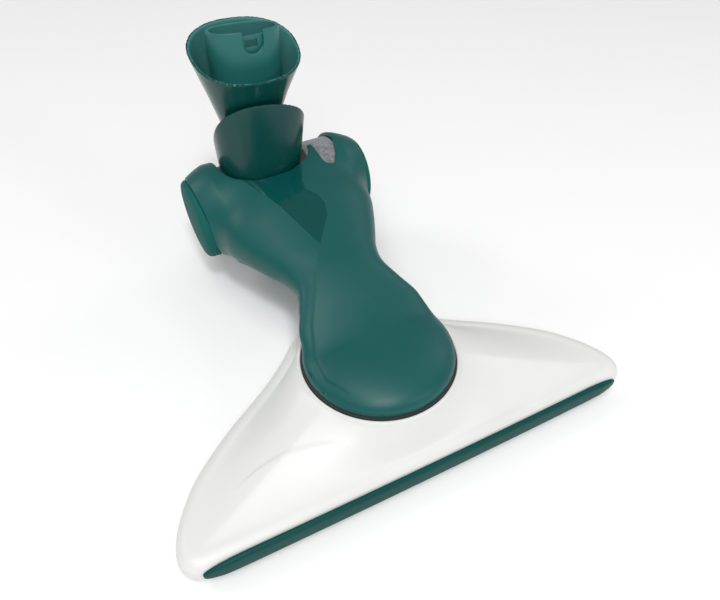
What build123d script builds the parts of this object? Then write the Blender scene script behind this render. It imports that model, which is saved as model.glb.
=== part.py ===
from build123d import *
import math
import os

os.makedirs("parts", exist_ok=True)

# Base plan: front edge, tip, and the points of the swept-back side
FRONT_CORNER = (140.0, -67.6)
FRONT_MID_Y = -68.6
TIP = (147.4, -64.4)
SIDE = [
    (150.0, -57.0), (147.6, -45.5), (135.7, -25.0), (117.4, -6.0),
    (92.8, 13.0), (62.7, 32.5), (41.4, 50.0), (24.0, 65.6),
]
APEX_Y = 70.0
COVER_Z0 = 3.0
COVER_Z1 = 12.0
COVER_TOP = [
    (12.0, 1.0), (15.5, 0.97), (18.0, 0.88), (20.5, 0.70),
    (23.5, 0.46), (27.5, 0.24), (32.0, 0.09), (37.5, 0.0),
]
MOUND_R = 51.0
COVER_WALL = 3.4
COVER_SKIN = 2.4
OPENING_R = 48.3

# Sole and suction slot
SOLE_Z0 = 3.8
SOLE_Z1 = 5.0
SLOT_X = 122.0
SLOT_Y0 = -63.8
SLOT_Y1 = -48.2
BRUSH_T = 2.0
BRUSH_Z0 = 0.3
CHANNEL_TOP = 11.5

# Rollers
ROLLER_R = 7.5
ROLLER_W = 8.0
AXLE_R = 1.5
AXLE_FIT = 0.05
ROLLERS = {
    "front_left": (-108.0, -38.0), "front_right": (108.0, -38.0),
    "rear_left": (-23.0, 50.5), "rear_right": (23.0, 50.5),
}

# Screw positions
BASE_SCREWS = [(-72.0, -42.4), (72.0, -42.4), (-50.4, 0.0), (50.4, 0.0)]
NECK_BOSSES = [(-35.0, 93.0), (35.0, 93.0), (-27.5, 66.0), (27.5, 66.0)]

# Swivel bearing on the vertical axis
DUCT_R = 36.0
SPIGOT_R = 38.0
SWIVEL_FIT = 0.06
RING_Z0 = 30.0
RING_Z1 = 33.4
SPIGOT_Z0 = 26.3
SEAM_Z = 39.2
DISC_R = 47.2
TOWER_SLOT = 0.8

# Neck: y, half width, underside z, top z
NECK = [
    (-6.0, 33.0, 39.8, 53.0), (8.0, 36.5, 40.0, 56.2), (24.0, 36.5, 41.4, 62.5),
    (38.0, 34.4, 43.6, 68.8), (52.0, 31.6, 46.0, 73.5), (66.0, 34.8, 44.8, 76.4),
    (80.0, 41.4, 41.0, 79.8), (95.0, 49.0, 36.6, 84.0), (110.0, 54.6, 31.0, 88.6),
    (126.0, 56.0, 26.4, 92.2),
]
NECK_POWER = 2.4
NECK_WALL = 2.2
SPLIT_Z = 41.2
SPLIT_SLOPE = 0.06

# Hose: y, half width, half height, centre z
HOSE = [(34, 21, 7.4, 54.6), (52, 21, 9.0, 59.7), (80, 24, 12, 60), (114, 27, 16, 59)]

# Hinge barrel along X
HINGE_Y = 155.0
HINGE_Z = 58.4
BARREL_R = 35.5
ARM_END_X = 57.0
ARM_END_R = 29.2
ARM_LEAN = 11.5
CAP_R = 28.8
CAP_RIM_X = 58.5
CAP_SHOULDER_R = 25.5
CAP_SHOULDER_X = 64.0
CAP_FACE_R = 8.0
CAP_X = 66.0
DRUM_X0 = -40.6
DRUM_X1 = 45.6
DRUM_R = 31.2
DRUM_BORE_R = 29.0
FELT_R = 33.0
FELT_X0 = 22.0
BARREL_BORE_R = 33.5
BARREL_LOW_BORE_R = 31.6
JOURNAL_R = 14.0
JOURNAL_X = 50.0
JOURNAL_FIT = 0.06

# Connector on the drum, as rows of z, left, right, front and back
CUP = [
    (76.0, -29.5, 5.5, 149.5, 178.5), (100.0, -29.5, 5.5, 149.5, 178.5),
    (113.0, -30.6, 6.6, 148.4, 179.4), (139.0, -37.2, 13.6, 141.8, 182.0),
    (160.0, -43.8, 21.3, 132.8, 185.6), (182.0, -50.6, 28.9, 122.0, 188.5),
]
PIPE = [(138.0, -33.7, 12.4, 148.9, 178.2), (200.0, -33.7, 12.4, 148.9, 178.2)]
COLLAR = [
    (78.0, -37.7, 17.9, 135.7, 183.7), (100.0, -38.9, 20.9, 135.7, 183.7),
    (150.0, -41.8, 27.9, 135.7, 183.7),
]
OVAL_POWER = 2.3
CONNECTOR_WALL = 2.0

# Rims: a point on the cutting plane, then its slopes along X and Y
CUP_RIM = (-11.6, 160.5, 170.0, -0.045, 0.363)
PIPE_RIM = (-10.6, 163.5, 183.1, -0.05, -0.18)
COLLAR_RIM = (-12.0, 159.7, 112.8, -0.17, -1.34)

# Drum outlet, notch and catch plate
OUTLET_X = -12.0
OUTLET_Y = 164.0
NOTCH_X = -9.0
NOTCH_R = 6.7
NOTCH_Z = 178.1

# Space in the neck for the collar
SEAT = (-41.0, 25.5, 134.2, 185.4)


def box(x0, x1, y0, y1, z0, z1):
    """Block between two corners."""
    mid = ((x0 + x1) / 2, (y0 + y1) / 2, (z0 + z1) / 2)
    return Pos(*mid) * Box(x1 - x0, y1 - y0, z1 - z0)


def post(r, z0, z1, x=0.0, y=0.0):
    """Upright round bar."""
    return Pos(x, y, (z0 + z1) / 2) * Cylinder(r, z1 - z0)


def bar(r, x0, x1, y=HINGE_Y, z=HINGE_Z):
    """Round bar along X."""
    return Pos((x0 + x1) / 2, y, z) * Rot(0, 90, 0) * Cylinder(r, x1 - x0)


def oval(a, b, power, steps=20):
    """Points of a superellipse with half axes a and b."""
    pts = []
    for i in range(steps):
        t = 2 * math.pi * i / steps
        c, s = math.cos(t), math.sin(t)
        u = a * math.copysign(abs(c) ** (2 / power), c)
        v = b * math.copysign(abs(s) ** (2 / power), s)
        pts.append((u, v))
    return pts


def closed(points):
    """Smooth closed wire through the points."""
    return Wire([Edge.make_spline([Vector(*p) for p in points], periodic=True)])


def skin(wires):
    """Smooth solid through a row of wires."""
    return Solid.make_loft(wires)


def plan(f, z, inset=0.0):
    """Plan contour of the base: f = 1 at the outer edge, 0 at the turntable mound."""
    def warp(p):
        r = math.hypot(*p)
        k = (MOUND_R + (r - MOUND_R) * f - inset) / r
        return Vector(p[0] * k, p[1] * k, z)

    def flip(p):
        return (-p[0], p[1])

    right = [warp(p) for p in SIDE]
    left = [warp(flip(p)) for p in reversed(SIDE)]
    a, b = warp(FRONT_CORNER), warp(flip(FRONT_CORNER))
    front = Edge.make_three_point_arc(b, warp((0.0, FRONT_MID_Y)), a)
    tip_r = Edge.make_three_point_arc(a, warp(TIP), right[0])
    side = Edge.make_spline(right + [warp((0.0, APEX_Y))] + left)
    tip_l = Edge.make_three_point_arc(left[-1], warp(flip(TIP)), b)
    return Wire([front, tip_r, side, tip_l])


def slab(inset, z0, z1):
    """Flat plate with the base's plan shape."""
    return Solid.extrude(Face(plan(1.0, z0, inset)), Vector(0, 0, z1 - z0))


def base_cover():
    """Triangular shell rising to a round mound."""
    outer = slab(0.0, COVER_Z0, COVER_Z1) + skin([plan(f, z) for z, f in COVER_TOP])
    inner = slab(COVER_WALL, COVER_Z0 - 1, COVER_Z1 - COVER_SKIN)
    inner += skin([plan(f, z - COVER_SKIN, COVER_WALL) for z, f in COVER_TOP])
    return outer - inner - post(OPENING_R, 30, 45)


def bumper():
    """Strip along the front edge with tapered ends."""
    x, y = FRONT_CORNER
    back = ThreePointArc((-x, y), (0, FRONT_MID_Y), (x, y))
    face = ThreePointArc((x - 1, y - 1.2), (0, FRONT_MID_Y - 2.8), (1 - x, y - 1.2))
    ends = Line((x, y), (x - 1, y - 1.2)) + Line((1 - x, y - 1.2), (-x, y))
    strip = extrude(make_face(back + face + ends), 11.6)
    strip = Pos(0, 0, 2.2) * strip
    edges = strip.edges().filter_by_position(Axis.Y, -72, -68.7)
    long_edges = [e for e in edges if e.length > 200]
    return fillet(long_edges, 1.1)


def roller(x, y):
    """Small wheel with a rounded tread."""
    r, w = ROLLER_R, ROLLER_W / 2
    wheel = bar(r, x - w, x + w, y, r)
    wheel = fillet(wheel.edges().filter_by(GeomType.CIRCLE), 1.2)
    return wheel - bar(AXLE_R + AXLE_FIT, x - w - 1, x + w + 1, y, r)


def axle(x, y):
    """Pin held in the two ears of a fork."""
    reach = ROLLER_W / 2 + 3.6
    return bar(AXLE_R, x - reach, x + reach, y, ROLLER_R)


def sole():
    """Thin steel plate with the slot, roller windows and screw holes."""
    plate = slab(COVER_WALL + 0.6, SOLE_Z0, SOLE_Z1)
    plate -= box(-SLOT_X - 4, SLOT_X + 4, SLOT_Y0, SLOT_Y1, 0, 9)
    for x, y in ROLLERS.values():
        plate -= box(x - 5, x + 5, y - 8.5, y + 8.5, 0, 9)
    for x, y in BASE_SCREWS:
        plate -= post(1.6, 0, 9, x, y)
    return plate


def chassis():
    """Inner moulding: suction channel, throat, bearing wall, forks and bosses."""
    body = box(-128, 128, -64.6, -46.6, SOLE_Z1, CHANNEL_TOP)
    body += box(-32, 32, -48, 0, SOLE_Z1, CHANNEL_TOP)
    body += post(46.0, SOLE_Z1, RING_Z0)
    for x, y in BASE_SCREWS:
        body += post(4.0, SOLE_Z1, CHANNEL_TOP, x, y)
    for x, y in ROLLERS.values():
        gap = ROLLER_W / 2 + 0.5
        y0 = -47.0 if y < 0 else 38.0
        for side in (-1, 1):
            a, b = sorted((x + side * gap, x + side * (gap + 3)))
            body += box(a, b, y0, y + 4, SOLE_Z1, 11.5)
    body -= box(-126.2, 126.2, -63.9, -48.1, 0, CHANNEL_TOP - 1.8)
    body -= box(-30, 30, -49, -20, SOLE_Z1 + 1.6, CHANNEL_TOP - 1.8)
    body -= post(43.4, SOLE_Z1 + 1.6, RING_Z0 + 1) - post(DUCT_R, SOLE_Z1, 25.5) - box(
        -32, 32, -48, 0, SOLE_Z1, CHANNEL_TOP)
    body -= post(DUCT_R - 2, SOLE_Z1 + 1.6, RING_Z0)
    for x, y in ROLLERS.values():
        body -= box(x - 4.5, x + 4.5, y - 8.2, y + 8.2, 0, 16)
        body -= bar(AXLE_R, x - 9, x + 9, y, ROLLER_R)
    for x, y in BASE_SCREWS:
        body -= post(1.4, 0, 11, x, y)
    return body


def chassis_parts():
    """The inner moulding as channel, duct and a bearing tower of four segments."""
    body = chassis()
    zone = box(-140, 140, -70, -47, 0, 40)
    for side in (-1, 1):
        a, b = sorted((side * 60, side * 140))
        zone += box(a, b, -47, -33, 0, 40)
    duct_zone = post(DUCT_R, 0, 40)
    channel = body & zone
    duct = body & duct_zone
    tower = body - zone - duct_zone
    for angle in (45, 135):
        tower -= Rot(0, 0, angle) * box(-90, 90, -TOWER_SLOT / 2, TOWER_SLOT / 2, 0, 40)
    return channel, duct, tower


def screw(x, y, head_z, length, r=1.4, head_r=2.7):
    """Pan-head screw pointing up."""
    return post(head_r, head_z - 1.4, head_z, x, y) + post(r, head_z, head_z + length, x, y)


def bearing_ring():
    """Two half rings round the spigot."""
    ring = post(45.9, RING_Z0, RING_Z1) - post(SPIGOT_R + SWIVEL_FIT, RING_Z0, RING_Z1)
    return ring - box(-0.1, 0.1, -60, 60, RING_Z0, RING_Z1)


def spigot():
    """Turning sleeve under the neck with a flange each side of the ring."""
    sleeve = post(SPIGOT_R, SPIGOT_Z0, SEAM_Z) + post(42.8, SPIGOT_Z0, RING_Z0 - 0.4)
    sleeve += post(45.6, RING_Z1 + 0.4, SEAM_Z)
    return sleeve - post(SPIGOT_R - 3.5, 0, 60)


def neck_section(y, w, z0, z1, inset=0.0):
    """Upright cross-section of the neck."""
    a, b, mid = w - inset, (z1 - z0) / 2 - inset, (z0 + z1) / 2
    return closed([(u, y, mid + v) for u, v in oval(a, b, NECK_POWER)])


def dome(inset=0.0):
    """Round front of the neck over the turntable."""
    k = inset
    arc = Spline((DISC_R - k, 41.0 + k), (44.4 - k, 46.2 - k / 2), (35 - k, 50.6 - k),
                 (20, 53.8 - k), (0, 55.2 - k))
    rim = Polyline((0, SEAM_Z + k), (DISC_R - 0.7 - k, SEAM_Z + k), (DISC_R - k, 41.0 + k))
    face = make_face(arc + rim + Line((0, 55.2 - k), (0, SEAM_Z + k)))
    return revolve(Plane.XZ * face, Axis.Z)


def leaning(shape, side):
    """Right-hand arm end or cap leaned outwards at the top, or its mirror image."""
    pivot = Pos(ARM_END_X, HINGE_Y, HINGE_Z)
    back = Pos(-ARM_END_X, -HINGE_Y, -HINGE_Z)
    turned = pivot * Rot(0, ARM_LEAN, 0) * back * shape
    return turned if side > 0 else mirror(turned, Plane.YZ)


def barrel():
    """Hinge barrel whose ends narrow to leaning flat faces."""
    body = bar(BARREL_R, -44, 44)
    for side in (-1, 1):
        rows = [(36, BARREL_R), (48, BARREL_R - 0.8), (53, BARREL_R - 2.6), (ARM_END_X, ARM_END_R)]
        arc = Spline(*rows)
        rest = Polyline((ARM_END_X, ARM_END_R), (ARM_END_X, 0), (36, 0), (36, BARREL_R))
        end = Pos(0, HINGE_Y, HINGE_Z) * revolve(make_face(arc + rest), Axis.X)
        body += leaning(end, side)
    return body


def neck_outer():
    """Whole outside of the neck."""
    return dome() + skin([neck_section(*row) for row in NECK]) + barrel()


def cap_socket(side):
    """Blind hole in an arm's end for the cap's spigot."""
    return leaning(bar(6.0, ARM_END_X - 3.4, ARM_END_X + 4), side)


def neck_inner():
    """Hollow inside the neck, the drum space and the arm pockets."""
    k = NECK_WALL
    hollow = dome(k) + skin([neck_section(*row, inset=k) for row in NECK])
    hollow += bar(BARREL_BORE_R, DRUM_X0 - 0.4, DRUM_X1 + 0.4) - box(-60, 60, 100, 200, 0, HINGE_Z)
    hollow += bar(BARREL_LOW_BORE_R, DRUM_X0 - 0.4, DRUM_X1 + 0.4)
    hollow += bar(JOURNAL_R + JOURNAL_FIT, -JOURNAL_X - 0.4, JOURNAL_X + 0.4)
    hollow += post(SPIGOT_R - 3.5, 30, 45)
    return hollow + cap_socket(-1) + cap_socket(1)


def neck_opening():
    """Space the drum and connector swing through, with the felt notch."""
    seat = oval_wire(HINGE_Z, *SEAT)
    cut = Solid.extrude(Face(seat), Vector(0, 0, 60))
    notch = make_face(Polyline((27.5, 172), (28.6, 150), (29.2, 137), (30.6, 134.2), (34.4, 133),
                               (36.8, 134.2), (41.6, 143), (45.6, 156), (46, 172), close=True))
    cut += Pos(0, 0, HINGE_Z) * extrude(notch, 60)
    return cut + box(DRUM_X0 - 0.4, DRUM_X1 + 0.4, 156, 200, 0, 130)


def v_prism(grow=0.0):
    """Plan shape of the glossy panel, extruded."""
    g = grow
    pts = [(-38 - g, 160), (-29.7 - g, 136.4), (-16.4 - g, 105), (-5.2, 70.5 - g), (5 + g, 84),
           (9.8 + g, 90.5), (12 + g, 100), (10.6 + g, 106.6), (5 + g, 113.5), (6 + g, 121),
           (12 + g, 134), (13 + g, 160)]
    return Pos(0, 0, 62) * extrude(make_face(Polyline(*pts, close=True)), 60)


def below_split():
    """Half space under the slanted parting plane."""
    slope = math.degrees(math.atan(SPLIT_SLOPE))
    return Pos(0, -DISC_R, SPLIT_Z) * Rot(slope, 0, 0) * Pos(0, 100, -100) * Box(400, 600, 200)


def neck_shells():
    """Upper shell, lower shell and V panel."""
    outer = neck_outer()
    shell = outer - neck_inner()
    for x, y in NECK_BOSSES:
        shell += post(3.6, 38, 90, x, y) & outer
    for x, y in NECK_BOSSES:
        shell -= post(1.4, 30, 60, x, y) + post(3.0, 30, 46.4, x, y)
    shell -= neck_opening()
    low = shell & below_split()
    high = shell - below_split()
    panel = high & v_prism()
    high = high - v_prism(0.15)
    return high, low, panel


def hose_solid(k):
    """Flattened bar that follows the waist of the neck."""
    rows = [closed([(u, y, z + v) for u, v in oval(a - k, b - k, 2)]) for y, a, b, z in HOSE]
    return skin(rows)


def hose():
    """Hose wall."""
    return hose_solid(0.0) - hose_solid(1.5)


def bulkhead():
    """Plate that holds the rear end of the hose."""
    rim = neck_section(*NECK[-2], inset=NECK_WALL + 0.4)
    return Solid.extrude(Face(rim), Vector(0, 2.4, 0)) - hose_solid(0.0)


def taper(r0, r1, x0, x1):
    """Cone along X at the hinge."""
    return Pos((x0 + x1) / 2, HINGE_Y, HINGE_Z) * Rot(0, 90, 0) * Cone(r0, r1, x1 - x0)


def cap(side):
    """Hollow domed disc that closes an arm, with a spigot into the arm's end wall."""
    disc = bar(CAP_R, ARM_END_X + 0.7, CAP_RIM_X)
    disc += taper(CAP_R, CAP_SHOULDER_R, CAP_RIM_X, CAP_SHOULDER_X)
    disc += taper(CAP_SHOULDER_R, CAP_FACE_R, CAP_SHOULDER_X, CAP_X)
    disc += bar(CAP_R - 1.2, ARM_END_X, ARM_END_X + 1)
    disc -= bar(22.5, ARM_END_X - 1, 62.0) - bar(8.5, ARM_END_X - 1, 62.0)
    return leaning(disc + bar(5.95, ARM_END_X - 3.2, ARM_END_X + 1), side)


def drum():
    """Hollow drum with journals, an air inlet at the front and an outlet on top."""
    tube = bar(DRUM_R, DRUM_X0, DRUM_X1) + bar(JOURNAL_R, -JOURNAL_X, JOURNAL_X)
    tube -= bar(DRUM_BORE_R, DRUM_X0 + 2.2, DRUM_X1 - 2.2)
    tube -= bar(JOURNAL_R - 2.2, -60, 60)
    tube += bar(JOURNAL_R, -JOURNAL_X, 2 - JOURNAL_X) + bar(JOURNAL_R, JOURNAL_X - 2, JOURNAL_X)
    throat = oval_wire(70, OUTLET_X - 15.5, OUTLET_X + 15.5, OUTLET_Y - 12.5, OUTLET_Y + 12.5)
    tube -= Solid.extrude(Face(throat), Vector(0, 0, 60))
    inlet = Pos(0, HINGE_Y, HINGE_Z) * Rot(10, 0, 0) * Pos(0, -30, 0) * Box(56, 40, 40)
    return tube - inlet


def felt():
    """Pile sleeve on the drum beside the collar."""
    ring = bar(FELT_R, FELT_X0, DRUM_X1 - 0.2) - bar(DRUM_R, FELT_X0, DRUM_X1)
    return ring - box(0, 60, 100, 210, 0, HINGE_Z)


def rim_cut(x, y, z, slope_x, slope_y):
    """Everything above a sloping plane."""
    plane = Plane(origin=(x, y, z), z_dir=(-slope_x, -slope_y, 1))
    return plane * Pos(0, 0, 150) * Box(400, 400, 300)


def oval_wire(z, left, right, front, back, inset=0.0):
    """Level superellipse between its four extents."""
    a, b = (right - left) / 2 - inset, (back - front) / 2 - inset
    x, y = (left + right) / 2, (front + back) / 2
    return closed([(x + u, y + v, z) for u, v in oval(a, b, OVAL_POWER)])


def oval_tube(rows, rim):
    """Open tube through level ovals, cut off by a sloping plane."""
    outside = skin([oval_wire(*row) for row in rows])
    inside = skin([oval_wire(*row, inset=CONNECTOR_WALL) for row in rows])
    return outside - inside - rim_cut(*rim)


def collar():
    """Shield with an arched rim, tall at the front and low at the back."""
    return oval_tube(COLLAR, COLLAR_RIM) - bar(DRUM_R, -80, 80)


def cup():
    """Flared funnel with a slanted rim."""
    return oval_tube(CUP, CUP_RIM) - bar(DRUM_R, -80, 80)


def pipe_tube():
    """Oval tube with a round-bottomed notch in its front."""
    front = PIPE[0][3]
    x0, x1 = NOTCH_X - NOTCH_R, NOTCH_X + NOTCH_R
    slot = box(x0, x1, front - 10, front + 8, NOTCH_Z, 210)
    slot += Pos(NOTCH_X, front - 1, NOTCH_Z) * Rot(90, 0, 0) * Cylinder(NOTCH_R, 18)
    return oval_tube(PIPE, PIPE_RIM) - slot


def latch(tube):
    """Catch plate behind the notch, with a square window."""
    front = PIPE[0][3] + 3.5
    plate = box(NOTCH_X - 13, NOTCH_X + 11.5, front, front + 1.6, 168, 181.5)
    window = box(NOTCH_X - 4.9, NOTCH_X + 3.4, front - 5, front + 5, 174.2, 179.4)
    return plate - window - tube


def build():
    """All nodes by name."""
    high, low, panel = neck_shells()
    channel, duct, tower = chassis_parts()
    funnel = cup()
    tube = pipe_tube()
    nodes = {
        "base_cover": base_cover(),
        "front_bumper": bumper(),
        "sole_plate": sole(),
        "base_chassis": tower,
        "suction_channel": channel,
        "swivel_duct": duct,
        "brush_front": box(-SLOT_X, SLOT_X, SLOT_Y0, SLOT_Y0 + BRUSH_T, BRUSH_Z0, 9),
        "brush_rear": box(-SLOT_X, SLOT_X, SLOT_Y1 - BRUSH_T, SLOT_Y1, BRUSH_Z0, 9),
        "end_lips": Compound([
            box(-SLOT_X - 3, -SLOT_X - 0.2, SLOT_Y0, SLOT_Y1, 1.2, 9),
            box(SLOT_X + 0.2, SLOT_X + 3, SLOT_Y0, SLOT_Y1, 1.2, 9),
        ]),
        "bearing_ring": bearing_ring(),
        "swivel_seal": post(37.4, 25.5, 26.0) - post(DUCT_R - 2, 25.5, 26.0),
        "turntable_gasket": post(48.2, 34.2, 38.9) - post(46.2, 34.2, 38.9),
        "base_screws": Compound([screw(x, y, SOLE_Z0, 7.0) for x, y in BASE_SCREWS]),
        "neck_upper": high,
        "neck_lower": low,
        "neck_panel": panel,
        "neck_spigot": spigot(),
        "neck_hose": hose(),
        "hose_bulkhead": bulkhead(),
        "cap_left": cap(-1),
        "cap_right": cap(1),
        "neck_screws": Compound([screw(x, y, 46.4, 12.0) for x, y in NECK_BOSSES]),
        "hinge_drum": drum(),
        "drum_felt": felt(),
        "collar_shield": collar(),
        "connector_cup": funnel,
        "connector_pipe": tube - funnel,
        "latch_plate": latch(tube),
    }
    for name, (x, y) in ROLLERS.items():
        nodes["roller_" + name] = roller(x, y)
        nodes["axle_" + name] = axle(x, y)
    return nodes


def save(nodes):
    """Centre the footprint on the origin and write one file per node."""
    limits = Compound(list(nodes.values())).bounding_box()
    shift = Pos(0, -(limits.min.Y + limits.max.Y) / 2, 0)
    for name, shape in nodes.items():
        export_step(shift * shape, "parts/" + name + ".step")


save(build())
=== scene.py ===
import math
import bpy
import numpy as np
from mathutils import Matrix, Vector


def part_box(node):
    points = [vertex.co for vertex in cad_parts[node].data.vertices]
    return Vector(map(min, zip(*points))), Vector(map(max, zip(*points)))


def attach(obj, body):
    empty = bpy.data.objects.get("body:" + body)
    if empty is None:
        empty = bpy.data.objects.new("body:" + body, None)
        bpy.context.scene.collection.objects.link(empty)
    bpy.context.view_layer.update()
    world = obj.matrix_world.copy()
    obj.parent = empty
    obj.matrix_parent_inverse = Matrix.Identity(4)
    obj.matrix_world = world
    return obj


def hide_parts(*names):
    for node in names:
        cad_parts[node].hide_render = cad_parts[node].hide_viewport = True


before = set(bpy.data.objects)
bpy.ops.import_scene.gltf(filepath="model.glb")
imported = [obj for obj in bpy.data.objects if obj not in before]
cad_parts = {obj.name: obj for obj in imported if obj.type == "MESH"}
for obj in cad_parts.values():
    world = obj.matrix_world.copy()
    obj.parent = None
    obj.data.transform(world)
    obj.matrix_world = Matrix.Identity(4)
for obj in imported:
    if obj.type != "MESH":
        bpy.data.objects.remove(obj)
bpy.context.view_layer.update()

# The drawing below is in millimetres with the swivel axis at x = 0, y = 0.
Y_MID = -71.4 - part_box("front_bumper")[0].y * 1000


def metres(p):
    """Drawing millimetres to frame metres."""
    q = np.asarray(p, float).reshape(-1, 3).copy()
    q[:, 1] -= Y_MID
    return q / 1000


# ---------------------------------------------------------------- meshes
def new_object(name, verts, faces, material, body, smooth=35):
    """Mesh object from drawing points, riding on a body."""
    me = bpy.data.meshes.new(name)
    faces = np.asarray(faces)
    me.vertices.add(len(verts))
    me.vertices.foreach_set("co", metres(verts).astype(np.float32).ravel())
    n = faces.shape[1]
    me.loops.add(faces.size)
    me.loops.foreach_set("vertex_index", faces.astype(np.int32).ravel())
    me.polygons.add(len(faces))
    me.polygons.foreach_set("loop_start", np.arange(0, faces.size, n, dtype=np.int32))
    me.update(calc_edges=True)
    me.validate()
    me.shade_smooth()
    me.set_sharp_from_angle(angle=math.radians(smooth))
    me.materials.append(material)
    ob = bpy.data.objects.new(name, me)
    bpy.context.collection.objects.link(ob)
    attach(ob, body)
    return ob


def smin(a, b, k):
    """Smooth minimum, rounded over a width of k."""
    h = np.clip(0.5 + 0.5 * (b - a) / k, 0, 1)
    return b * (1 - h) + a * h - k * h * (1 - h)


def smax(a, b, k):
    """Smooth maximum."""
    return -smin(-a, -b, k)


def smooth(t):
    """Ease from 0 to 1."""
    t = np.clip(t, 0, 1)
    return t * t * (3 - 2 * t)


def nets(parts, lo, hi, step):
    """Quad mesh of the solid inside every part, by surface nets pulled onto the surface.

    Points where two parts meet are drawn onto their shared edge, which keeps it sharp."""

    def field(p):
        return np.maximum.reduce([f(p) for f in parts])

    def pull(f, p, limit):
        g = np.stack([(f(p + d) - f(p - d)) / 0.1 for d in np.eye(3) * 0.05], -1)
        move = f(p)[:, None] * g / np.maximum((g * g).sum(-1, keepdims=True), 0.15)
        size = np.linalg.norm(move, axis=1, keepdims=True)
        return p - move * np.minimum(1, limit / np.maximum(size, 1e-9))

    lo, hi = np.array(lo, float), np.array(hi, float)
    n = np.ceil((hi - lo) / step).astype(int) + 1
    ax = [lo[i] + np.arange(n[i]) * step for i in range(3)]
    val = np.empty(n, np.float32)
    yy, zz = np.meshgrid(ax[1], ax[2], indexing="ij")
    for i, x in enumerate(ax[0]):
        p = np.stack([np.full(yy.size, x), yy.ravel(), zz.ravel()], -1)
        val[i] = field(p).reshape(n[1], n[2])
    inside = val < 0
    m = n - 1
    total = np.zeros(tuple(m) + (3,), np.float32)
    count = np.zeros(tuple(m), np.float32)
    for axis in range(3):
        a0 = [slice(None)] * 3
        a1 = [slice(None)] * 3
        a0[axis], a1[axis] = slice(0, -1), slice(1, None)
        va, vb = val[tuple(a0)], val[tuple(a1)]
        hit = inside[tuple(a0)] != inside[tuple(a1)]
        t = np.where(hit, va / np.where(va == vb, 1, va - vb), 0)
        u, v = [i for i in range(3) if i != axis]
        for du in (0, 1):
            for dv in (0, 1):
                s = [slice(None)] * 3
                s[u] = slice(du, du + m[u])
                s[v] = slice(dv, dv + m[v])
                h, tt = hit[tuple(s)], t[tuple(s)]
                count += h
                total[..., axis] += np.where(h, tt, 0)
                total[..., u] += h * du
                total[..., v] += h * dv
    cells = np.argwhere(count > 0)
    index = -np.ones(tuple(m), int)
    index[tuple(cells.T)] = np.arange(len(cells))
    pts = (cells + total[tuple(cells.T)] / count[tuple(cells.T)][:, None]) * step + lo
    quads = []
    for axis in range(3):
        a0 = [slice(None)] * 3
        a1 = [slice(None)] * 3
        a0[axis], a1[axis] = slice(0, -1), slice(1, None)
        hit = inside[tuple(a0)] != inside[tuple(a1)]
        u, v = (axis + 1) % 3, (axis + 2) % 3
        e = np.argwhere(hit)
        e = e[(e[:, u] > 0) & (e[:, v] > 0) & (e[:, u] < n[u] - 1) & (e[:, v] < n[v] - 1)]
        q = []
        for du, dv in ((-1, -1), (0, -1), (0, 0), (-1, 0)):
            c = e.copy()
            c[:, u] += du
            c[:, v] += dv
            q.append(index[tuple(c.T)])
        q = np.stack(q, -1)
        flip = ~inside[tuple(e.T)]
        q[flip] = q[flip][:, ::-1]
        quads.append(q)
    quads = np.concatenate(quads)
    quads = quads[(quads >= 0).all(1)]
    for _ in range(3):
        pts = pull(field, pts, 0.4 * step)
    values = [np.abs(f(pts)) for f in parts]
    for i in range(len(parts)):
        for j in range(i):
            near = np.where(np.maximum(values[i], values[j]) < 0.75 * step)[0]
            if len(near):
                p = pts[near]
                for _ in range(4):
                    p = pull(parts[j], pull(parts[i], p, 0.5 * step), 0.5 * step)
                pts[near] = p
    return pts, quads


def curve(table, t):
    """Smooth interpolation through rows (t, value)."""
    k = np.array([r[0] for r in table], float)
    v = np.array([r[1] for r in table], float)
    d = np.gradient(v, k)
    t = np.clip(t, k[0], k[-1])
    i = np.clip(np.searchsorted(k, t) - 1, 0, len(k) - 2)
    h = k[i + 1] - k[i]
    s = (t - k[i]) / h
    a = 2 * s**3 - 3 * s**2 + 1
    b = s**3 - 2 * s**2 + s
    c = -2 * s**3 + 3 * s**2
    e = s**3 - s**2
    return a * v[i] + b * h * d[i] + c * v[i + 1] + e * h * d[i + 1]


def rings(loops, close=True):
    """Quads joining rows of points; each row is a closed loop."""
    rows, cols = loops.shape[:2]
    r = np.arange(rows if close else rows - 1)
    c = np.arange(cols)
    rr, cc = np.meshgrid(r, c, indexing="ij")
    r2, c2 = (rr + 1) % rows, (cc + 1) % cols
    return np.stack([rr * cols + cc, r2 * cols + cc, r2 * cols + c2, rr * cols + c2], -1).reshape(-1, 4)


def lathe(profile, centre, axis, turns=160):
    """Closed ring from a loop of (along, radius) points about an axis through centre."""
    a = np.linspace(0, 2 * np.pi, turns, endpoint=False)
    prof = np.array(profile, float)
    out = np.zeros((turns, len(prof), 3))
    u, v = [i for i in range(3) if i != axis]
    out[..., axis] = prof[None, :, 0]
    out[..., u] = prof[None, :, 1] * np.cos(a)[:, None]
    out[..., v] = prof[None, :, 1] * np.sin(a)[:, None]
    return (out + np.array(centre)).reshape(-1, 3), rings(out)


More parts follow.
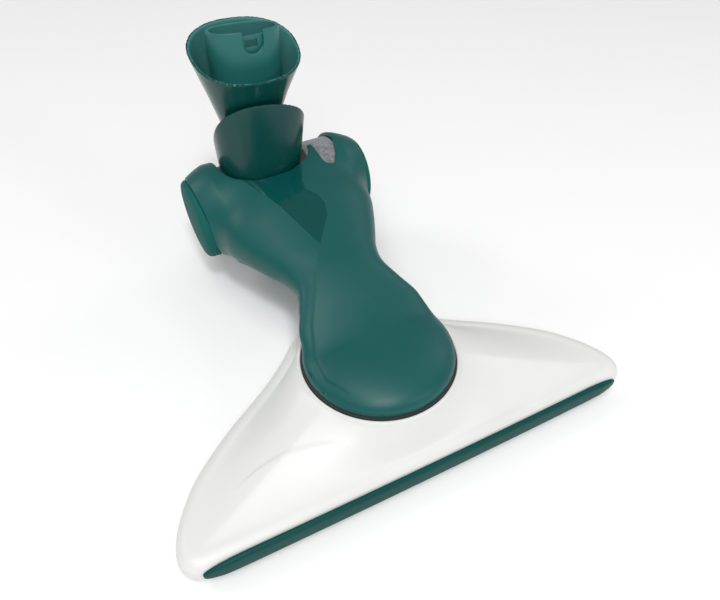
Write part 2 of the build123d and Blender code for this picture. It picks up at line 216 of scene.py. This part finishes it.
# ------------------------------------------------------------- materials
def shader(name, colour, rough, *, spread=0.06, grain=900, grain_h=0.02, mottle=14, coat=0.0,
           metal=0.0, rough_var=0.06, stretch=(1, 1, 1), sheen=0.0, spec=0.5):
    """Principled material whose colour, roughness and relief all vary a little."""
    mat = bpy.data.materials.new(name)
    mat.use_nodes = True
    nt = mat.node_tree
    b = nt.nodes["Principled BSDF"]
    co = nt.nodes.new("ShaderNodeTexCoord")
    mp = nt.nodes.new("ShaderNodeMapping")
    mp.inputs["Scale"].default_value = stretch
    nt.links.new(co.outputs["Object"], mp.inputs["Vector"])

    def noise(scale, detail):
        n = nt.nodes.new("ShaderNodeTexNoise")
        n.inputs["Scale"].default_value = scale
        n.inputs["Detail"].default_value = detail
        nt.links.new(mp.outputs["Vector"], n.inputs["Vector"])
        return n

    big, fine = noise(mottle, 4), noise(grain, 2)
    ramp = nt.nodes.new("ShaderNodeValToRGB")
    ramp.color_ramp.elements[0].position, ramp.color_ramp.elements[1].position = 0.3, 0.7
    ramp.color_ramp.elements[0].color = [c * (1 - spread) for c in colour] + [1]
    ramp.color_ramp.elements[1].color = [min(1, c * (1 + spread)) for c in colour] + [1]
    nt.links.new(big.outputs["Fac"], ramp.inputs["Fac"])
    nt.links.new(ramp.outputs["Color"], b.inputs["Base Color"])
    mr = nt.nodes.new("ShaderNodeMapRange")
    mr.inputs["To Min"].default_value = max(0.02, rough - rough_var)
    mr.inputs["To Max"].default_value = min(1, rough + rough_var)
    nt.links.new(fine.outputs["Fac"], mr.inputs["Value"])
    nt.links.new(mr.outputs["Result"], b.inputs["Roughness"])
    bump = nt.nodes.new("ShaderNodeBump")
    bump.inputs["Strength"].default_value = 1.0
    bump.inputs["Distance"].default_value = grain_h / 1000
    nt.links.new(fine.outputs["Fac"], bump.inputs["Height"])
    nt.links.new(bump.outputs["Normal"], b.inputs["Normal"])
    b.inputs["Metallic"].default_value = metal
    b.inputs["Coat Weight"].default_value = coat
    b.inputs["Coat Roughness"].default_value = 0.08
    b.inputs["Sheen Weight"].default_value = sheen
    b.inputs["Specular IOR Level"].default_value = spec
    return mat


TEAL = (0.006, 0.090, 0.086)
WHITE = shader("white_shell", (0.765, 0.77, 0.75), 0.38, spread=0.008, grain=1500, grain_h=0.004,
               coat=0.0, rough_var=0.04, spec=0.4)
STRIP = shader("green_strip", (0.005, 0.066, 0.060), 0.42, spread=0.05, grain=1600, grain_h=0.012, spec=0.10)
FINE = shader("green_fine", TEAL, 0.40, spread=0.03, grain=1900, grain_h=0.055, rough_var=0.08, spec=0.32)
# green of the glossy V panel: a real gloss finish, darkened further as painted shade and reflection
GLOSS_PAINTED_SHADE = shader("green_gloss", (0.002, 0.066, 0.060), 0.13, spread=0.04, grain=700, grain_h=0.002, spec=0.35)
SATIN = shader("green_satin", (0.002, 0.056, 0.050), 0.20, spread=0.04, grain=1500, grain_h=0.008, spec=0.34)
CAP = shader("cap_green", (0.012, 0.115, 0.100), 0.55, spread=0.03, grain=1700, grain_h=0.02, spec=0.03)
# brightened green for the connectors' insides: painted light in place of the light their walls shade off
INNER_PAINTED_LIGHT = shader("green_inner_painted_light", (0.048, 0.200, 0.190), 0.5, spread=0.03, grain=1900, grain_h=0.04, spec=0.3)
# pipe and latch green, brighter than the neck's green: painted light for the pipe standing deep in the cup's
# shade
TUBE_PAINTED_LIGHT = shader("green_tube_painted_light", (0.018, 0.150, 0.142), 0.42, spread=0.03, grain=1900, grain_h=0.045, spec=0.4)
GREY = shader("grey_moulding", (0.045, 0.050, 0.052), 0.5, spread=0.12, grain=1400, grain_h=0.03)
RUBBER = shader("seal_rubber", (0.028, 0.034, 0.034), 0.62, spread=0.15, grain=1300, grain_h=0.02)
STEEL = shader("sole_steel", (0.56, 0.57, 0.58), 0.30, spread=0.06, grain=260, grain_h=0.006, metal=1.0,
               stretch=(0.04, 1, 1))
PIN = shader("axle_steel", (0.50, 0.51, 0.52), 0.25, spread=0.08, grain=400, grain_h=0.004, metal=1.0)
ZINC = shader("zinc_screw", (0.62, 0.63, 0.60), 0.30, spread=0.1, grain=900, grain_h=0.01, metal=1.0)
NATURAL = shader("slide_plastic", (0.62, 0.61, 0.56), 0.38, spread=0.05, grain=1100, grain_h=0.01)
TREAD = shader("tread", (0.075, 0.078, 0.080), 0.7, spread=0.2, grain=1200, grain_h=0.05)
BRISTLE = shader("bristle", (0.035, 0.037, 0.040), 0.55, spread=0.3, grain=900, grain_h=0.02, sheen=0.2)


FELT = shader("felt_grey", (0.20, 0.215, 0.22), 0.9, spread=0.4, grain=1500, grain_h=0.35,
              mottle=420, sheen=0.35, rough_var=0.05)

# ------------------------------------------------------- base: white shell
HALF = [
    (0, -68.6), (45, -68.5), (90, -68.2), (126, -67.8), (139, -67.2), (145.6, -64.8), (149.2, -60.2),
    (150, -54.5), (148.1, -46), (143.2, -35.6), (136.2, -25.2), (127.9, -15.2), (117.6, -5.8),
    (106, 3.4), (92.8, 12.8), (77.8, 22.4), (62.7, 32.8), (48.9, 44.0), (37.6, 54.8), (27.5, 63.4),
    (14, 68.6), (0, 70),
]


def outline(samples):
    """Evenly spaced points of the base's plan outline."""
    pts = HALF + [(-x, y) for x, y in HALF[-2:0:-1]]
    p = np.array(pts, float)
    out = []
    n = len(p)
    for i in range(n):
        a, b, c, d = p[i - 1], p[i], p[(i + 1) % n], p[(i + 2) % n]
        ta, tb, tc = [max(1e-6, np.linalg.norm(q) ** 0.5) for q in (b - a, c - b, d - c)]
        m1 = (b - a) / ta - (c - a) / (ta + tb) + (c - b) / tb
        m2 = (c - b) / tb - (d - b) / (tb + tc) + (d - c) / tc
        m1, m2 = m1 * tb, m2 * tb
        s = np.linspace(0, 1, 24, endpoint=False)[:, None]
        out.append((2 * s**3 - 3 * s**2 + 1) * b + (s**3 - 2 * s**2 + s) * m1
                   + (-2 * s**3 + 3 * s**2) * c + (s**3 - s**2) * m2)
    q = np.concatenate(out)
    q = np.concatenate([q, q[:1]])
    seg = np.r_[0, np.cumsum(np.linalg.norm(np.diff(q, axis=0), axis=1))]
    t = np.linspace(0, seg[-1], samples, endpoint=False)
    return np.stack([np.interp(t, seg, q[:, 0]), np.interp(t, seg, q[:, 1])], -1)


MOUND = 50.6
EDGE_D, EDGE_Z, FLAT_Z, TOP_Z = 8.5, 9.0, 15.6, 37.4
COVER_FOOT = 3.0
RIM_LIP = [(50.7, 36.7), (50.4, 37.5), (49.9, 38.0), (49.2, 38.1), (48.7, 37.8), (48.45, 37.2), (48.35, 35.5)]
WING_FOLD = [(30, -49), (41.5, -42), (53, -37), (66, -33.1), (85, -30.3), (101, -32.3), (118, -39)]


def cover():
    """White shell from the outer wall up to the round lip, then back down inside."""
    P = outline(1500)
    T = np.roll(P, -1, 0) - np.roll(P, 1, 0)
    T /= np.linalg.norm(T, axis=1, keepdims=True)
    N = np.stack([-T[:, 1], T[:, 0]], -1)
    N *= np.sign(-(N * P).sum(1))[:, None]
    rows = []

    def add(q, z):
        rows.append(np.concatenate([q, np.broadcast_to(np.asarray(z, float).reshape(-1, 1), (len(q), 1))], 1))

    def inward(d):
        return P + N * d

    def radial(g, d=EDGE_D):
        Q = inward(d)
        r = np.linalg.norm(Q, axis=1, keepdims=True)
        return Q * ((MOUND + (r - MOUND) * g) / r)

    def step(q):
        """Shallow fold that curves across each wing."""
        x = -q[:, 0]
        line = curve(WING_FOLD, x)
        s = line - q[:, 1]
        fade = smooth((x - 34) / 22) * smooth((116 - x) / 26)
        return 0.7 * fade * (0.5 + 0.5 * np.tanh(s / 0.8)) * np.exp(-np.clip(s, 0, 99) / 15)

    add(inward(1.4), COVER_FOOT)
    add(inward(0.5), 3.05)
    add(inward(0.1), 3.4)
    add(inward(0.0), 4.2)
    add(inward(0.0), EDGE_Z - 2)
    for a in np.linspace(0, np.pi / 2, 11):
        add(inward(EDGE_D * (1 - math.cos(a))), EDGE_Z + (FLAT_Z - EDGE_Z) * math.sin(a))
    for g in 1 - np.linspace(0, 1, 46)[1:-1] ** 1.15:
        q = radial(g)
        r = np.linalg.norm(q, axis=1)
        z = FLAT_Z + (TOP_Z - 1.0 - FLAT_Z) * (1 - g) ** 1.55
        add(q, z + step(q))
    rim = inward(EDGE_D)
    rim = rim / np.linalg.norm(rim, axis=1, keepdims=True)
    for r, z in RIM_LIP:
        add(rim * r, z)
    add(rim * 49.6, 33.8)
    for g in np.linspace(0.02, 1, 24):
        add(radial(g, EDGE_D + 0.5), FLAT_Z - 2.2 + (TOP_Z - 1.0 - FLAT_Z) * (1 - g) ** 1.55)
    add(inward(3.0), FLAT_Z - 4)
    add(inward(2.2), EDGE_Z - 1)
    add(inward(2.2), COVER_FOOT)
    loops = np.stack(rows, 1)
    ob = new_object("cover_skin", loops.reshape(-1, 3), rings(loops), WHITE, "base")
    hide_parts("base_cover")


cover()


# ------------------------------------------------------ base: front bumper
def bumper():
    n = 700
    x = np.linspace(-140.4, 140.4, n)
    e = np.clip(1 - np.abs(x) / 140.4, 0, 1)
    run = e * 140.4
    full = np.sqrt(np.clip(1 - (1 - np.clip(run / 26, 0, 1)) ** 2, 0, 1))
    high = 0.8 + 11.9 * full ** 0.85
    deep = 0.5 + 2.4 * np.clip(full * 1.15, 0, 1)
    y = -68.6 + 1.0 * (x / 140) ** 2
    mid = 8.2 - 0.6 * (1 - full)
    back = []
    turns = np.linspace(0, 2 * np.pi, 40, endpoint=False)
    for a in turns:
        c, s = math.cos(a), math.sin(a)
        u = math.copysign(abs(c) ** 0.55, c)
        v = math.copysign(abs(s) ** 0.42, s)
        yy = y - deep * u if u > 0 else y - 0.4 * u
        back.append(np.stack([x, yy, mid + high / 2 * v], -1))
    loops = np.stack(back, 1)
    faces = rings(loops, close=False)
    ob = new_object("bumper_skin", loops.reshape(-1, 3), faces, STRIP, "base", 50)
    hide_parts("front_bumper")


bumper()

# ------------------------------------------------------------------- neck
HINGE = np.array([0.0, 155.0, 58.4])
NECK = [
    (-6, 24.0, 39.8, 47.5), (8, 39.0, 40.0, 53.0), (24, 42.5, 41.4, 60.5), (38, 36.5, 43.6, 67.8),
    (52, 31.5, 46.0, 73.2), (66, 34.0, 46.0, 76.4), (80, 40.8, 43.6, 79.8), (95, 48.0, 41.0, 84.0),
    (110, 54.0, 36.4, 88.6), (126, 56.0, 31.0, 92.2), (150, 56.0, 26.0, 93.5),
]
WIDTH = [(r[0], r[1]) for r in NECK]
FLOOR = [(r[0], r[2]) for r in NECK]
CEIL = [(r[0], r[3]) for r in NECK]
FOLD = [
    (-9, 66), (-15.5, 54.6), (-23, 42.4), (-33, 25.4), (-39.6, 7.8), (-40.6, -10), (-33, -25), (-20, -33),
]
# outline of the glossy V panel; its wavy right edge follows a dark reflection, so the darker green inside it
# is partly painted shade
V_PANEL_SHADE_OUTLINE = [(-38, 166), (-29.7, 136.4), (-16.4, 105), (-5.2, 70.5), (5, 84), (9.8, 90.5), (12, 100),
         (10.6, 106.6), (5, 113.5), (6, 121), (12, 134), (13, 166)]
NOTCH = [(27.5, 172), (28.6, 150), (29.2, 137), (30.6, 134.2), (34.4, 133), (36.8, 134.2), (41.6, 143),
         (45.6, 156), (46, 172)]
SEAT = (-41.0, 25.5, 134.2, 185.4)
DISC_R, DOME_Z, DOME_H = 47.2, 41.0, 14.2
DISC_FOOT = 38.75
TUBE_POWER = 2.35
BARREL_R, BARREL_TAPER, TAPER_FROM, TAPER_LENGTH = 35.4, 6.2, 42, 15
SHELL_WALL = 3.2
DRUM_SPACE = (-40.9, 45.9)
BORE_TOP_R, BORE_LOW_R = 33.3, 31.7
JOURNAL_R, JOURNAL_END = 14.3, 50.3
THROAT_R, THROAT_TOP = 34.7, 48
SEAM_Z, SEAM_SLOPE, SEAM_GAP = 41.2, 0.06, 0.12


def oval_d(u, v, a, b, power):
    """Rough distance to a superellipse."""
    g = ((np.abs(u) / a) ** power + (np.abs(v) / b) ** power) ** (1 / power)
    return np.hypot(u, v) * (g - 1) / np.maximum(g, 1e-6)


def extent_d(x, y, left, right, front, back_):
    """Rough distance to the level oval between four extents."""
    mid_x, mid_y = (left + right) / 2, (front + back_) / 2
    return oval_d(x - mid_x, y - mid_y, (right - left) / 2, (back_ - front) / 2, 2.3)


def poly_d(x, y, pts):
    """Signed distance to a plan polygon, negative inside."""
    p = np.array(pts, float)
    best = np.full(x.shape, 1e9)
    odd = np.zeros(x.shape, bool)
    for a, b in zip(p, np.roll(p, -1, 0)):
        e = b - a
        t = np.clip(((x - a[0]) * e[0] + (y - a[1]) * e[1]) / (e @ e), 0, 1)
        best = np.minimum(best, (x - a[0] - t * e[0]) ** 2 + (y - a[1] - t * e[1]) ** 2)
        cross = ((a[1] > y) != (b[1] > y))
        xi = a[0] + (y - a[1]) * e[0] / (e[1] if abs(e[1]) > 1e-9 else 1e-9)
        odd ^= cross & (x < xi)
    return np.sqrt(best) * np.where(odd, -1, 1)


def path_s(x, y, pts):
    """Distance from a plan path, signed by side, and the share of the path's length there."""
    p = np.array(pts, float)
    seg = np.r_[0, np.cumsum(np.linalg.norm(np.diff(p, axis=0), axis=1))]
    best = np.full(x.shape, 1e9)
    sign = np.zeros(x.shape)
    along = np.zeros(x.shape)
    for i in range(len(p) - 1):
        a, e = p[i], p[i + 1] - p[i]
        t = np.clip(((x - a[0]) * e[0] + (y - a[1]) * e[1]) / (e @ e), 0, 1)
        dx, dy = x - a[0] - t * e[0], y - a[1] - t * e[1]
        d = dx * dx + dy * dy
        near = d < best
        best = np.where(near, d, best)
        sign = np.where(near, np.sign(e[0] * dy - e[1] * dx), sign)
        along = np.where(near, (seg[i] + t * (seg[i + 1] - seg[i])) / seg[-1], along)
    return np.sqrt(best) * sign, along


ARM_END, ARM_LEAN = 57.0, 11.5


def arm_x(p):
    """Distance out along an arm, measured square to its leaning end face."""
    t = math.radians(ARM_LEAN)
    return ARM_END + (np.abs(p[:, 0]) - ARM_END) * math.cos(t) - (p[:, 2] - HINGE[2]) * math.sin(t)


SCREWS = [(35.0, 93.0, 49.5), (27.5, 66.0, 54.0)]


def boss_field(p, skin_d):
    """Posts inside the neck for its screws, and the bores that take the heads."""
    x, y, z = np.abs(p[:, 0]), p[:, 1], p[:, 2]
    (x1, y1, z1), (x2, y2, z2) = SCREWS
    near = np.minimum(np.hypot(x - x1, y - y1), np.hypot(x - x2, y - y2))
    seat_z = np.where(y > 80, z1, z2)
    return np.maximum(np.maximum(near - 4.8, skin_d), z - 64), np.maximum(near - 3.05, z - seat_z)


def neck_plain(p, off=0.0):
    """The neck's form before the fold and the cuts, drawn in by off."""
    x, y, z = p[:, 0], p[:, 1], p[:, 2]
    r = np.hypot(x, y)
    h = z - DOME_Z
    wide, tall = DISC_R - off, DOME_H - off
    g = (np.abs(r / wide) ** 2.55 + np.abs(h / tall) ** 2.1) ** (1 / 2.25)
    top = np.hypot(r, h) * (g - 1) / np.maximum(g, 1e-6) * 0.8
    spoon = np.where(h > 0, top, r - wide + np.clip(-h - 1.6, 0, 9) * 0.5)
    w, lo, hi = curve(WIDTH, y) - off, curve(FLOOR, y) + off, curve(CEIL, y) - off
    tube = oval_d(x, z - (lo + hi) / 2, w, (hi - lo) / 2, TUBE_POWER)
    tube = smax(smax(tube, -6 - y, 2.0), y - 150, 2.0)
    rho = np.hypot(y - HINGE[1], z - HINGE[2])
    ax = arm_x(p)
    fat = BARREL_R - BARREL_TAPER * np.clip((ax - TAPER_FROM) / TAPER_LENGTH, 0, 1) ** 1.3 - off
    drum = smax(rho - fat, ax - ARM_END, 0.8)
    body = smin(tube, drum, 9.0)
    body = smin(body, spoon, 9.0)
    return smax(body, DISC_FOOT + off - z - np.clip(y - 47, 0, 8) * 3, 0.6)


def neck_field(p):
    """The whole neck as a hollow moulding."""
    x, y, z = p[:, 0], p[:, 1], p[:, 2]
    d = neck_plain(p)
    s, t = path_s(x, y, FOLD)
    top = smooth((z - 44) / 5)
    ends = smooth(t / 0.12) * smooth((1 - t) / 0.45)
    side = 0.5 - 0.5 * np.tanh(s / 0.45)
    d = d + 1.7 * top * ends * side * np.exp(-np.clip(-s, 0, 60) / 12)
    v = poly_d(x, y, V_PANEL_SHADE_OUTLINE)
    d = d + 1.3 * smooth(-v / 9) * smooth((z - 62) / 6)
    rho = np.hypot(y - HINGE[1], z - HINGE[2])
    left, right = DRUM_SPACE
    hollow = np.maximum(np.maximum(neck_plain(p, SHELL_WALL), left - x), x - right)
    bore_r = np.where(z > HINGE[2], BORE_TOP_R, BORE_LOW_R)
    bore = np.maximum(np.maximum(rho - bore_r, left - x), x - right)
    journal = np.maximum(rho - JOURNAL_R, np.abs(x) - JOURNAL_END)
    throat = np.maximum(np.hypot(x, y) - THROAT_R, z - THROAT_TOP)
    seat = np.where(z > HINGE[2], extent_d(x, y, *SEAT), 20)
    rear = np.maximum(np.maximum(-41.0 - x, x - 46.0), 156 - y)
    notch = np.where(z > HINGE[2], poly_d(x, y, NOTCH), 20)
    post, bore_screw = boss_field(p, neck_plain(p, 0.3))
    d = np.maximum(d, -np.minimum(np.minimum(hollow, bore), np.minimum(journal, throat)))
    d = np.maximum(smin(d, post, 1.0), -bore_screw)
    return smax(d, -np.minimum(np.minimum(seat, rear), notch), 1.1)


def split(p):
    """Height above the seam between the neck's two shells."""
    return p[:, 2] - SEAM_Z - SEAM_SLOPE * (p[:, 1] + DISC_R)


def panel_side(p):
    """Signed distance to the V panel's outline, above the hinge only."""
    return np.maximum(poly_d(p[:, 0], p[:, 1], V_PANEL_SHADE_OUTLINE), 60 - p[:, 2])


def neck():
    """The neck's two shells and its V panel, a glossy dish whose darker green and wavy outline are partly
    painted shade and reflection.
    """
    def over(p):
        return SEAM_GAP - split(p)

    def under(p):
        return SEAM_GAP + split(p)

    def beside(p):
        return -panel_side(p)

    for name, parts, lo, hi, step, mat, node, slot_name in (
            ("neck_skin_upper", [neck_field, over, beside], (-68, -50, 39), (68, 194, 98), 0.85, FINE,
             "neck_upper", "green_fine"),
            ("neck_skin_lower", [neck_field, under], (-66, -50, 20), (66, 194, 57), 0.95, FINE,
             "neck_lower", "green_fine"),
            ("neck_skin_panel", [neck_field, panel_side], (-42, 66, 58), (18, 168, 98), 0.7, GLOSS_PAINTED_SHADE,
             "neck_panel", "green_gloss")):
        pts, quads = nets(parts, lo, hi, step)
        ob = new_object(name, pts, quads, mat, "neck", 40)
        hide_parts(node)


neck()


def neck_screws():
    """Pan heads with a round socket, sunk in the lower shell."""
    verts, faces = [], []
    for side in (-1, 1):
        for x, y, z in SCREWS:
            prof = [(z - 1.4, 1.1), (z - 1.4, 2.3), (z - 1.15, 2.6), (z, 2.7), (z, 1.35), (z + 11.5, 1.3),
                    (z + 12, 0.8), (z + 12, 0.05), (z - 0.5, 0.05), (z - 0.5, 1.1)]
            pts, quads = lathe(prof, (side * x, y, 0), 2, 40)
            faces.append(quads + sum(len(v) for v in verts))
            verts.append(pts)
    ob = new_object("neck_screw_skin", np.concatenate(verts), np.concatenate(faces), ZINC, "neck", 40)
    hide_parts("neck_screws")


neck_screws()


# ------------------------------------------------- hinge caps
def cap(side):
    """Lens-shaped cap on an arm's leaning end."""
    face = [(60.2, 28.3), (61.8, 27.9), (62.9, 27.2), (63.7, 26.2), (64.3, 24.6), (64.8, 21.5), (65.2, 17.0),
            (65.5, 11.0), (65.65, 5.0), (65.7, 0.05)]
    prof = [(56.2, 8.6), (56.2, 27.4), (57.25, 27.6), (57.4, 28.5), (57.8, 28.8), (58.3, 28.8), (58.9, 28.7),
            *face, (62.5, 0.05), (62.2, 22.4), (57.2, 22.5), (57.2, 8.6)]
    pts, quads = lathe([(a - ARM_END, r) for a, r in prof], (0, 0, 0), 0)
    t = math.radians(ARM_LEAN)
    x, z = pts[:, 0].copy(), pts[:, 2].copy()
    x -= 0.13 * z * np.clip((x + ARM_END - 58.5) / 6, 0, 1)
    pts[:, 0] = side * (ARM_END + x * math.cos(t) + z * math.sin(t))
    pts[:, 1] += HINGE[1]
    pts[:, 2] = HINGE[2] - x * math.sin(t) + z * math.cos(t)
    if side > 0:
        quads = quads[:, ::-1]
    name = "left" if side < 0 else "right"
    ob = new_object("cap_skin_" + name, pts, quads, CAP, "neck", 40)
    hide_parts("cap_" + name)


cap(-1)
cap(1)


# -------------------------------------------------- connector on the drum
# Rows of z, left, right, front and back; then each rim's plane.
CUP = [(76, -29.5, 5.5, 149.5, 178.5), (100, -29.5, 5.5, 149.5, 178.5), (113, -30.6, 6.6, 148.4, 179.4),
       (139, -37.2, 13.6, 141.8, 182.0), (160, -43.8, 21.3, 132.8, 185.6), (182, -50.6, 28.9, 122.0, 188.5)]
PIPE = [(130, -33.7, 12.4, 148.9, 178.2), (200, -33.7, 12.4, 148.9, 178.2)]
SHIELD = [(78, -37.7, 17.9, 135.7, 183.7), (100, -38.9, 20.9, 135.7, 183.7), (150, -41.8, 27.9, 135.7, 183.7)]
CUP_RIM = (-11.6, 160.5, 170.0, -0.045, 0.363)
PIPE_RIM = (-10.6, 163.5, 183.1, -0.05, -0.18)
SHIELD_RIM = (-12.0, 159.7, 112.8, -0.17, -1.34)
NOTCH_X, NOTCH_Z, NOTCH_R = -9.0, 178.1, 6.7


def drum_d(p, r=31.2):
    return np.hypot(p[:, 1] - HINGE[1], p[:, 2] - HINGE[2]) - r


def stack_d(p, rows):
    """Rough distance to an upright solid drawn as level ovals."""
    left, right, front, back_ = [curve([(r[0], r[i]) for r in rows], p[:, 2]) for i in (1, 2, 3, 4)]
    return extent_d(p[:, 0], p[:, 1], left, right, front, back_)


def above(p, x, y, z, slope_x, slope_y):
    """Height over a sloping plane, measured square to it."""
    lift = p[:, 2] - z - slope_x * (p[:, 0] - x) - slope_y * (p[:, 1] - y)
    return lift / math.sqrt(1 + slope_x ** 2 + slope_y ** 2)


def tube_d(p, rows, rim, wall=2.0, round_=0.8):
    """Open tube with a softened rim."""
    d = stack_d(p, rows)
    return smax(np.maximum(d, -(d + wall)), above(p, *rim), round_)


def cup_field(p):
    return np.maximum(tube_d(p, CUP, CUP_RIM), -drum_d(p))


def pipe_field(p):
    x, y, z = p[:, 0] - NOTCH_X, p[:, 1], p[:, 2] - NOTCH_Z
    slot = np.where(z > 0, np.abs(x), np.hypot(x, z)) - NOTCH_R
    slot = np.maximum(slot, y - 157)
    wall = smax(tube_d(p, PIPE, PIPE_RIM, round_=0.7), -slot, 0.6)
    return np.maximum(np.maximum(wall, stack_d(p, CUP) + 1.0), 138 - p[:, 2])


def shield_field(p):
    return np.maximum(tube_d(p, SHIELD, SHIELD_RIM, round_=0.9), -drum_d(p))


def organic(name, parts, rows, lo, hi, step, material, node):
    """Tube of the connector, with a matt inside in a brighter green that is painted light, standing in for
    light the deep tube shades off.
    """
    pts, quads = nets(parts, lo, hi, step)
    ob = new_object(name, pts, quads, material, "connector", 40)
    ob.data.materials.append(INNER_PAINTED_LIGHT)
    # faces on the inside get the brightened green, which is painted light for the shaded inside
    inside = stack_d(pts[quads].mean(1), rows) < -1.2
    ob.data.polygons.foreach_set("material_index", inside.astype(np.int32))
    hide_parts(node)
    return ob


organic("cup_skin", [cup_field], CUP, (-56, 120, 74), (34, 196, 184), 0.85, SATIN, "connector_cup")
organic("pipe_skin", [pipe_field], PIPE, (-37, 145, 134), (16, 182, 190), 0.7, TUBE_PAINTED_LIGHT, "connector_pipe")
organic("shield_skin", [shield_field], SHIELD, (-46, 132, 74), (34, 188, 152), 0.8, SATIN, "collar_shield")


# ------------------------------------------------------- brush strips
def bristles(name, x0, x1, y0, y1, z0, z1, node):
    """Rows of thin tapered tufts."""
    rng = np.random.default_rng(7)
    verts, faces = [], []
    for row in range(3):
        y = y0 + (row + 0.5) * (y1 - y0) / 3
        for x in np.arange(x0 + 0.5, x1 - 0.3, 0.85):
            bx, by = x + rng.uniform(-0.12, 0.12), y + rng.uniform(-0.1, 0.1)
            tx, ty = bx + rng.uniform(-0.35, 0.35), by + rng.uniform(-0.15, 0.15)
            k = len(verts)
            for r, cx, cy, z in ((0.34, bx, by, z1), (0.24, (bx + tx) / 2, (by + ty) / 2, (z0 + z1) / 2),
                                 (0.13, tx, ty, z0 + rng.uniform(0, 0.25))):
                for a in range(4):
                    t = a * math.pi / 2
                    verts.append((cx + r * math.cos(t), cy + r * math.sin(t), z))
            for lay in (0, 4):
                for a in range(4):
                    b = (a + 1) % 4
                    faces.append((k + lay + a, k + lay + 4 + a, k + lay + 4 + b, k + lay + b))
            faces.append((k, k + 1, k + 2, k + 3))
            faces.append((k + 11, k + 10, k + 9, k + 8))
    ob = new_object(name, np.array(verts), np.array(faces), BRISTLE, "base")
    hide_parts(node)


bristles("brush_front_tufts", -122, 122, -63.8, -61.8, 0.3, 9.0, "brush_front")
bristles("brush_rear_tufts", -122, 122, -50.2, -48.2, 0.3, 9.0, "brush_rear")

# ---------------------------------------------- materials of the CAD nodes
LOOKS = {
    "sole_plate": STEEL, "base_chassis": GREY, "end_lips": RUBBER, "bearing_ring": NATURAL,
    "swivel_seal": RUBBER, "turntable_gasket": RUBBER, "base_screws": ZINC, "neck_spigot": NATURAL,
    "neck_hose": RUBBER, "hose_bulkhead": GREY, "neck_screws": ZINC, "hinge_drum": GREY,
    "drum_felt": FELT, "latch_plate": TUBE_PAINTED_LIGHT, "suction_channel": GREY, "swivel_duct": GREY,
}
for name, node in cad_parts.items():
    mat = LOOKS.get(name)
    if name.startswith("roller_"):
        mat = TREAD
    if name.startswith("axle_"):
        mat = PIN
    if mat is not None:
        node.data.materials.clear()
        node.data.materials.append(mat)

# ---------------------------------------------------------------- studio
def area(name, loc, target, size, power):
    """Soft rectangular lamp aimed at a point."""
    light = bpy.data.lights.new(name, "AREA")
    light.shape = "RECTANGLE"
    light.size, light.size_y = size
    light.energy = power
    ob = bpy.data.objects.new(name, light)
    ob.location = loc
    ob.rotation_mode = "QUATERNION"
    ob.rotation_quaternion = (Vector(target) - Vector(loc)).to_track_quat("-Z", "Y")
    bpy.context.collection.objects.link(ob)


floor_me = bpy.data.meshes.new("floor")
floor_me.from_pydata([(-6, -6, 0), (6, -6, 0), (6, 6, 0), (-6, 6, 0)], [], [(0, 1, 2, 3)])
floor = bpy.data.objects.new("floor", floor_me)
floor_me.materials.append(shader("floor", (0.97, 0.97, 0.97), 0.6, spread=0.002, grain=400, grain_h=0.003))
bpy.context.collection.objects.link(floor)

world = bpy.data.worlds.new("studio")
world.use_nodes = True
world.node_tree.nodes["Background"].inputs["Color"].default_value = (1, 1, 1, 1)
world.node_tree.nodes["Background"].inputs["Strength"].default_value = 0.28
bpy.context.scene.world = world
area("top", (-0.6, -0.4, 3.0), (0, 0, 0.03), (1.8, 1.8), 27)
area("camera_side", (-0.9, -2.0, 2.2), (0, 0, 0.08), (1.3, 1.0), 23)
area("front_right", (1.15, -2.0, 1.2), (0, 0, 0.05), (0.5, 0.4), 5)
area("dome_key", (-0.28, -1.17, 1.95), (0, -0.1, 0.04), (0.24, 0.24), 14)
area("right", (2.3, 0.4, 1.7), (0, 0, 0.05), (1.2, 1.0), 6)
area("behind", (-1.5, 1.6, 1.6), (0, 0, 0.1), (0.8, 0.5), 9)

# The camera looks down on the front left of the head.
AZ, EL, ROLL = math.radians(-28.57), math.radians(44.86), math.radians(1.04)
CAM_DISTANCE = 0.51144
CAM_LENS = 34.1535
back = Vector((math.sin(AZ) * math.cos(EL), -math.cos(AZ) * math.cos(EL), math.sin(EL)))
right = Vector((math.cos(AZ), math.sin(AZ), 0))
up = back.cross(right)
c, s = math.cos(ROLL), math.sin(ROLL)
right, up = c * right + s * up, -s * right + c * up
target = Vector(metres((30.85, 82.04, 0))[0])
cam_data = bpy.data.cameras.new("camera")
cam_data.sensor_width = 36
cam_data.lens = CAM_LENS
cam_data.clip_start, cam_data.clip_end = 0.01, 50
cam = bpy.data.objects.new("camera", cam_data)
m = Matrix((right, up, back)).transposed().to_4x4()
m.translation = target + back * CAM_DISTANCE
cam.matrix_world = m
bpy.context.collection.objects.link(cam)
bpy.context.scene.camera = cam
bpy.context.scene.view_settings.view_transform = "Standard"
bpy.context.scene.view_settings.exposure = 0.0
